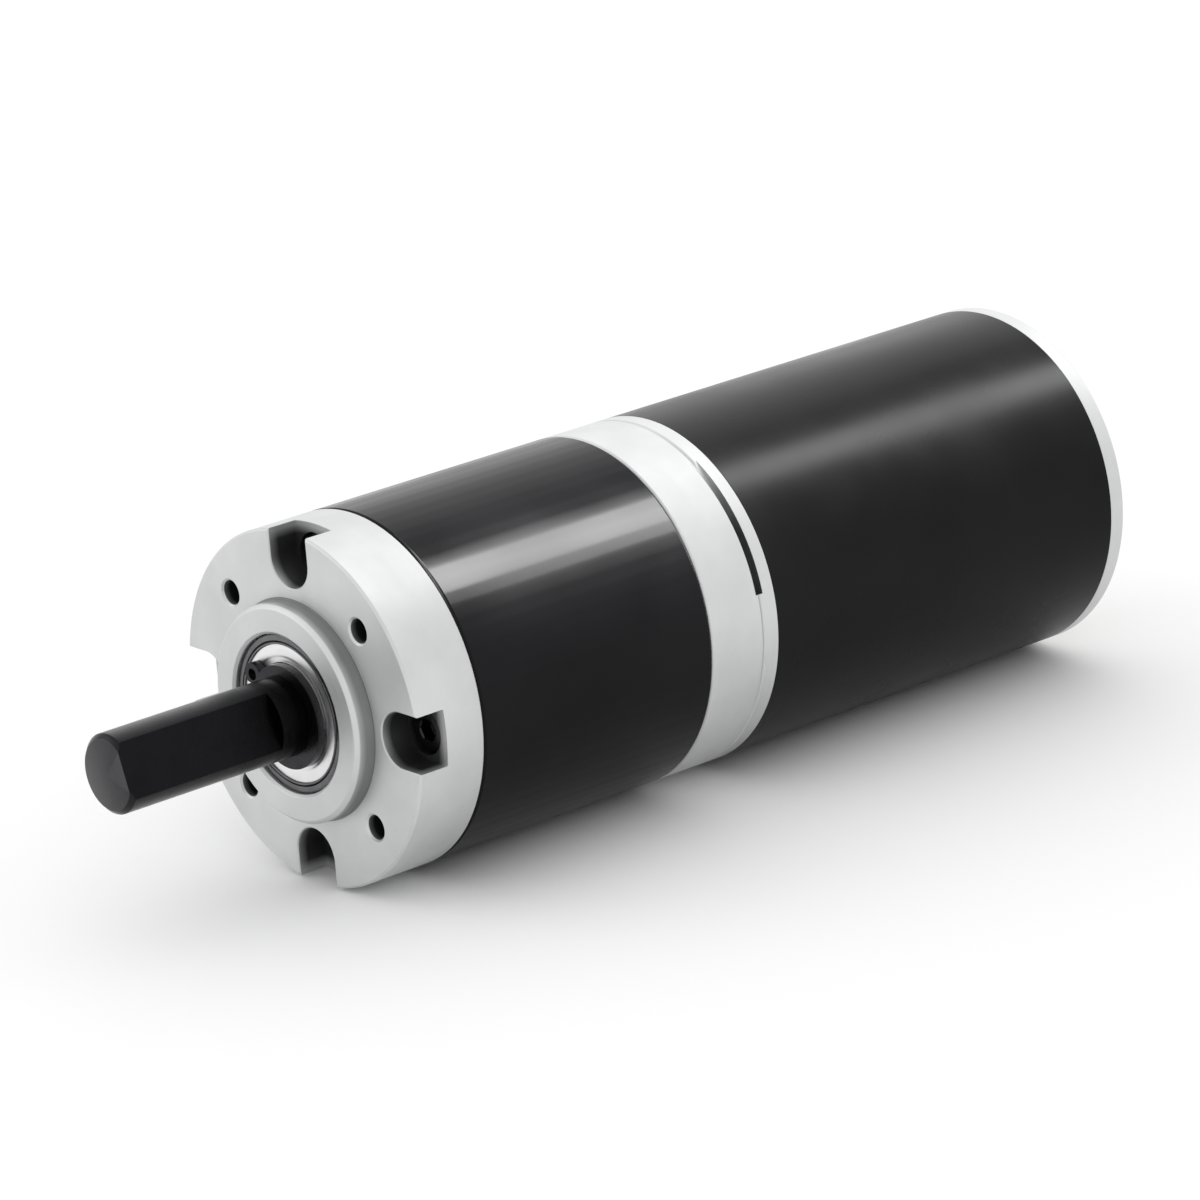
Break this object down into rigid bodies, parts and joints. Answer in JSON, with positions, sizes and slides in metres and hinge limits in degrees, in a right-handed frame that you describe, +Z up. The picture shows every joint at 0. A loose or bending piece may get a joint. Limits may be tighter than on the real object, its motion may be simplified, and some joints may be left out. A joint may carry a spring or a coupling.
{
  "type": "planetary gearmotor",
  "caption": "Round planetary gearmotor: brushed DC motor, staged planetary gearbox and a D-flat output shaft in a round flange with tapped mounting holes.",
  "frame": {"origin": "centre of the output flange's mounting face, on the shaft axis", "axes": "-Y along the output shaft, away from the flange; +Y towards the motor; +Z up"},
  "size_m": [0.036, 0.1244, 0.036],
  "materials": {
    "satin_aluminium": "fine turned and clear anodised, satin",
    "gloss_black_steel": "gloss black lacquer on a turned ring",
    "satin_black_steel": "satin black enamel on a drawn tube",
    "black_oxide_steel": "black oxide, lightly oiled",
    "bearing_steel": "ground bearing steel",
    "pressed_steel": "bright pressed steel",
    "sintered_steel": "sintered steel, grey and slightly porous",
    "gear_steel": "cut and ground steel with a film of grease",
    "lamination_steel": "stacked electrical steel",
    "copper_wire": "enamelled copper wire",
    "copper": "hard drawn copper, worn bright",
    "brass": "turned or pressed brass",
    "sintered_bronze": "oil filled sintered bronze",
    "ferrite": "matte dark grey ferrite",
    "carbon": "pressed carbon",
    "spring_steel": "bright spring strip",
    "brown_laminate": "paper laminate",
    "black_moulding": "moulded, matte"
  },
  "bodies": {
    "housing": {"front_flange": "satin_aluminium", "body_screws": "black_oxide_steel", "ring_gear": "gloss_black_steel", "front_bearing_outer": "bearing_steel", "front_bearing_shield": "pressed_steel", "rear_bearing_outer": "bearing_steel", "thrust_plate": "pressed_steel", "adapter_plate": "satin_aluminium", "adapter_screws": "black_oxide_steel", "motor_front_cap": "satin_aluminium", "motor_can": "satin_black_steel", "magnets": "ferrite", "motor_front_bush": "sintered_bronze", "motor_rear_bush": "sintered_bronze", "rear_cap": "satin_aluminium", "tie_bolts": "black_oxide_steel", "brush_plate": "brown_laminate", "brush_holders": "brass", "brushes": "carbon", "brush_springs": "spring_steel", "terminals": "brass", "terminal_insulators": "black_moulding"},
    "output": {"output_shaft": "black_oxide_steel", "output_carrier": "sintered_steel", "shaft_circlip": "black_oxide_steel", "front_bearing_inner": "bearing_steel", "rear_bearing_inner": "bearing_steel"},
    "front_cage": {"front_bearing_cage": "pressed_steel"},
    "rear_cage": {"rear_bearing_cage": "pressed_steel"},
    "second_stage": {"second_carrier": "sintered_steel", "third_sun": "gear_steel"},
    "first_stage": {"first_carrier": "sintered_steel", "second_sun": "gear_steel"},
    "rotor": {"motor_shaft": "gear_steel", "motor_pinion": "brass", "armature_core": "lamination_steel", "windings": "copper_wire", "commutator_hub": "black_moulding", "commutator_bars": "copper"},
    "first_planet_a": {"first_planet_a": "gear_steel"},
    "first_planet_b": {"first_planet_b": "gear_steel"},
    "first_planet_c": {"first_planet_c": "gear_steel"},
    "second_planet_a": {"second_planet_a": "gear_steel"},
    "second_planet_b": {"second_planet_b": "gear_steel"},
    "second_planet_c": {"second_planet_c": "gear_steel"},
    "third_planet_a": {"third_planet_a": "gear_steel"},
    "third_planet_b": {"third_planet_b": "gear_steel"},
    "third_planet_c": {"third_planet_c": "gear_steel"}
  },
  "joints": [
    {"name": "rotor_spin", "type": "hinge", "parent": "housing", "child": "rotor", "pos_m": [0, 0.065, 0], "axis": [0, 1, 0], "continuous": true},
    {"name": "first_stage_spin", "type": "hinge", "parent": "housing", "child": "first_stage", "pos_m": [0, 0.0289, 0], "axis": [0, 1, 0], "continuous": true},
    {"name": "second_stage_spin", "type": "hinge", "parent": "housing", "child": "second_stage", "pos_m": [0, 0.0214, 0], "axis": [0, 1, 0], "continuous": true},
    {"name": "output_spin", "type": "hinge", "parent": "housing", "child": "output", "pos_m": [0, 0.0044, 0], "axis": [0, 1, 0], "continuous": true},
    {"name": "front_cage_spin", "type": "hinge", "parent": "housing", "child": "front_cage", "pos_m": [0, 0.0009, 0], "axis": [0, 1, 0], "continuous": true},
    {"name": "rear_cage_spin", "type": "hinge", "parent": "housing", "child": "rear_cage", "pos_m": [0, 0.0079, 0], "axis": [0, 1, 0], "continuous": true},
    {"name": "first_planet_a_spin", "type": "hinge", "parent": "first_stage", "child": "first_planet_a", "pos_m": [0.00798, 0.0322, 0.00141], "axis": [0, 1, 0], "continuous": true},
    {"name": "first_planet_b_spin", "type": "hinge", "parent": "first_stage", "child": "first_planet_b", "pos_m": [-0.00521, 0.0322, 0.0062], "axis": [0, 1, 0], "continuous": true},
    {"name": "first_planet_c_spin", "type": "hinge", "parent": "first_stage", "child": "first_planet_c", "pos_m": [-0.00277, 0.0322, -0.00761], "axis": [0, 1, 0], "continuous": true},
    {"name": "second_planet_a_spin", "type": "hinge", "parent": "second_stage", "child": "second_planet_a", "pos_m": [0.00521, 0.02495, 0.0062], "axis": [0, 1, 0], "continuous": true},
    {"name": "second_planet_b_spin", "type": "hinge", "parent": "second_stage", "child": "second_planet_b", "pos_m": [-0.00798, 0.02495, 0.00141], "axis": [0, 1, 0], "continuous": true},
    {"name": "second_planet_c_spin", "type": "hinge", "parent": "second_stage", "child": "second_planet_c", "pos_m": [0.00277, 0.02495, -0.00761], "axis": [0, 1, 0], "continuous": true},
    {"name": "third_planet_a_spin", "type": "hinge", "parent": "output", "child": "third_planet_a", "pos_m": [0, 0.01695, 0.0081], "axis": [0, 1, 0], "continuous": true},
    {"name": "third_planet_b_spin", "type": "hinge", "parent": "output", "child": "third_planet_b", "pos_m": [-0.00701, 0.01695, -0.00405], "axis": [0, 1, 0], "continuous": true},
    {"name": "third_planet_c_spin", "type": "hinge", "parent": "output", "child": "third_planet_c", "pos_m": [0.00701, 0.01695, -0.00405], "axis": [0, 1, 0], "continuous": true}
  ],
  "couplings": [
    {"joint": "first_stage_spin", "follows": "rotor_spin", "ratio": 0.25926},
    {"joint": "second_stage_spin", "follows": "rotor_spin", "ratio": 0.067215},
    {"joint": "output_spin", "follows": "rotor_spin", "ratio": 0.017426},
    {"joint": "front_cage_spin", "follows": "rotor_spin", "ratio": 0.0073335},
    {"joint": "rear_cage_spin", "follows": "rotor_spin", "ratio": 0.0073335},
    {"joint": "first_planet_a_spin", "follows": "rotor_spin", "ratio": -0.79772},
    {"joint": "first_planet_b_spin", "follows": "rotor_spin", "ratio": -0.79772},
    {"joint": "first_planet_c_spin", "follows": "rotor_spin", "ratio": -0.79772},
    {"joint": "second_planet_a_spin", "follows": "rotor_spin", "ratio": -0.20682},
    {"joint": "second_planet_b_spin", "follows": "rotor_spin", "ratio": -0.20682},
    {"joint": "second_planet_c_spin", "follows": "rotor_spin", "ratio": -0.20682},
    {"joint": "third_planet_a_spin", "follows": "rotor_spin", "ratio": -0.053619},
    {"joint": "third_planet_b_spin", "follows": "rotor_spin", "ratio": -0.053619},
    {"joint": "third_planet_c_spin", "follows": "rotor_spin", "ratio": -0.053619}
  ]
}
